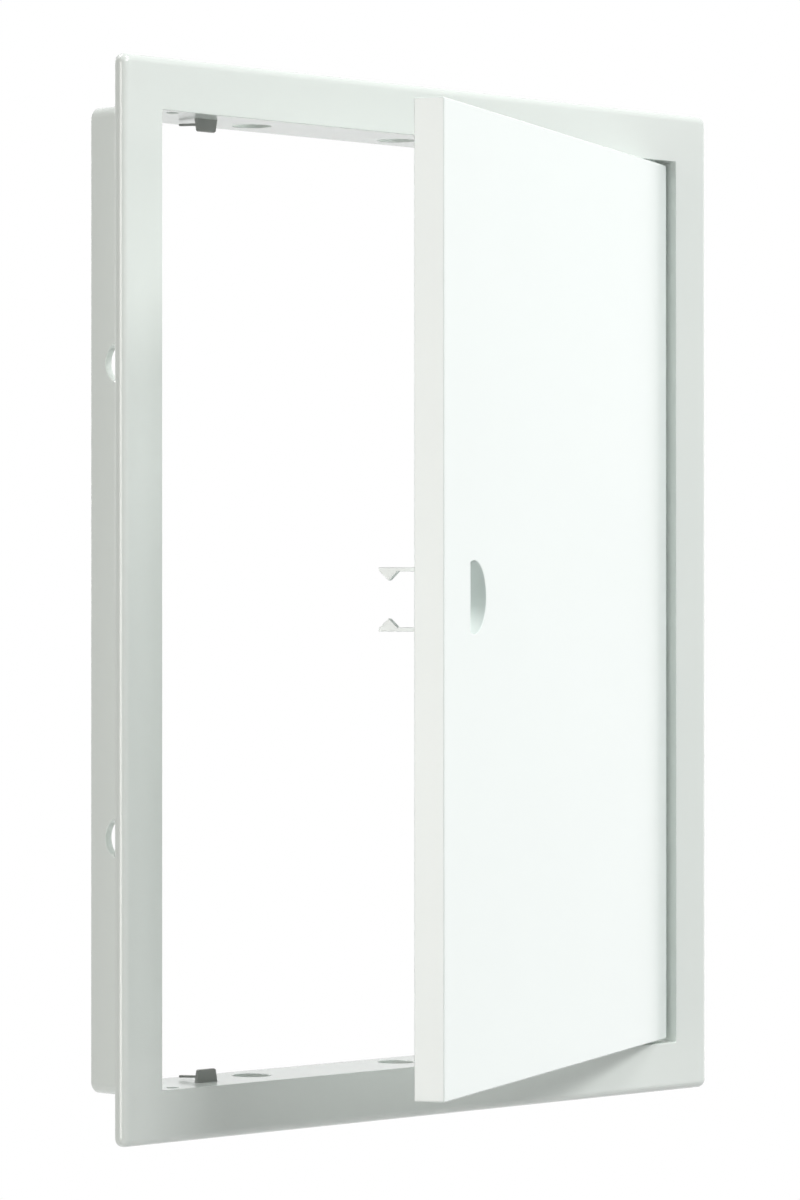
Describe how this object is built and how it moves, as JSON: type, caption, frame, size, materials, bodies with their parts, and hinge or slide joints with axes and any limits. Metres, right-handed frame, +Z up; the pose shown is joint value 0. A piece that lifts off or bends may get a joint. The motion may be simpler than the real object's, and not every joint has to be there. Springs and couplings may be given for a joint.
{
  "type": "access panel door",
  "caption": "Plastic access panel: a flanged frame with a collar for a wall opening, and a shallow door on hinge pins with a finger pull and snap hooks.",
  "frame": {"origin": "middle of the opening, on the wall's surface, which is the plane of the flange's back face", "axes": "+X right to the hinges, +Y back into the wall, +Z up"},
  "size_m": [0.218, 0.1011, 0.268],
  "materials": {
    "frame_plastic": "moulded white ABS, satin",
    "door_plastic": "moulded white ABS, satin, slightly brighter than the frame",
    "dark_stop": "dark grey moulded plastic"
  },
  "bodies": {
    "frame": {"face_flange": "frame_plastic", "collar_top": "frame_plastic", "collar_bottom": "frame_plastic", "collar_left": "frame_plastic", "collar_right": "frame_plastic", "catch_keeper": "frame_plastic", "door_stop_upper": "dark_stop", "door_stop_lower": "dark_stop"},
    "door": {"door_skin": "door_plastic", "door_rim_top": "door_plastic", "door_rim_bottom": "door_plastic", "door_rim_free": "door_plastic", "door_rim_hinge": "door_plastic", "door_rib_upper": "door_plastic", "door_rib_middle": "door_plastic", "door_rib_lower": "door_plastic", "finger_pull_cup": "door_plastic", "latch_base": "door_plastic", "latch_hook_upper": "door_plastic", "latch_hook_lower": "door_plastic", "pin_boss_upper": "door_plastic", "pin_boss_lower": "door_plastic", "pivot_pin_upper": "door_plastic", "pivot_pin_lower": "door_plastic"}
  },
  "joints": [
    {"name": "door_hinge", "type": "hinge", "parent": "frame", "child": "door", "pos_m": [0.0889, 0.0008, 0], "axis": [0, 0, 1], "range_deg": [-25, 85]}
  ]
}
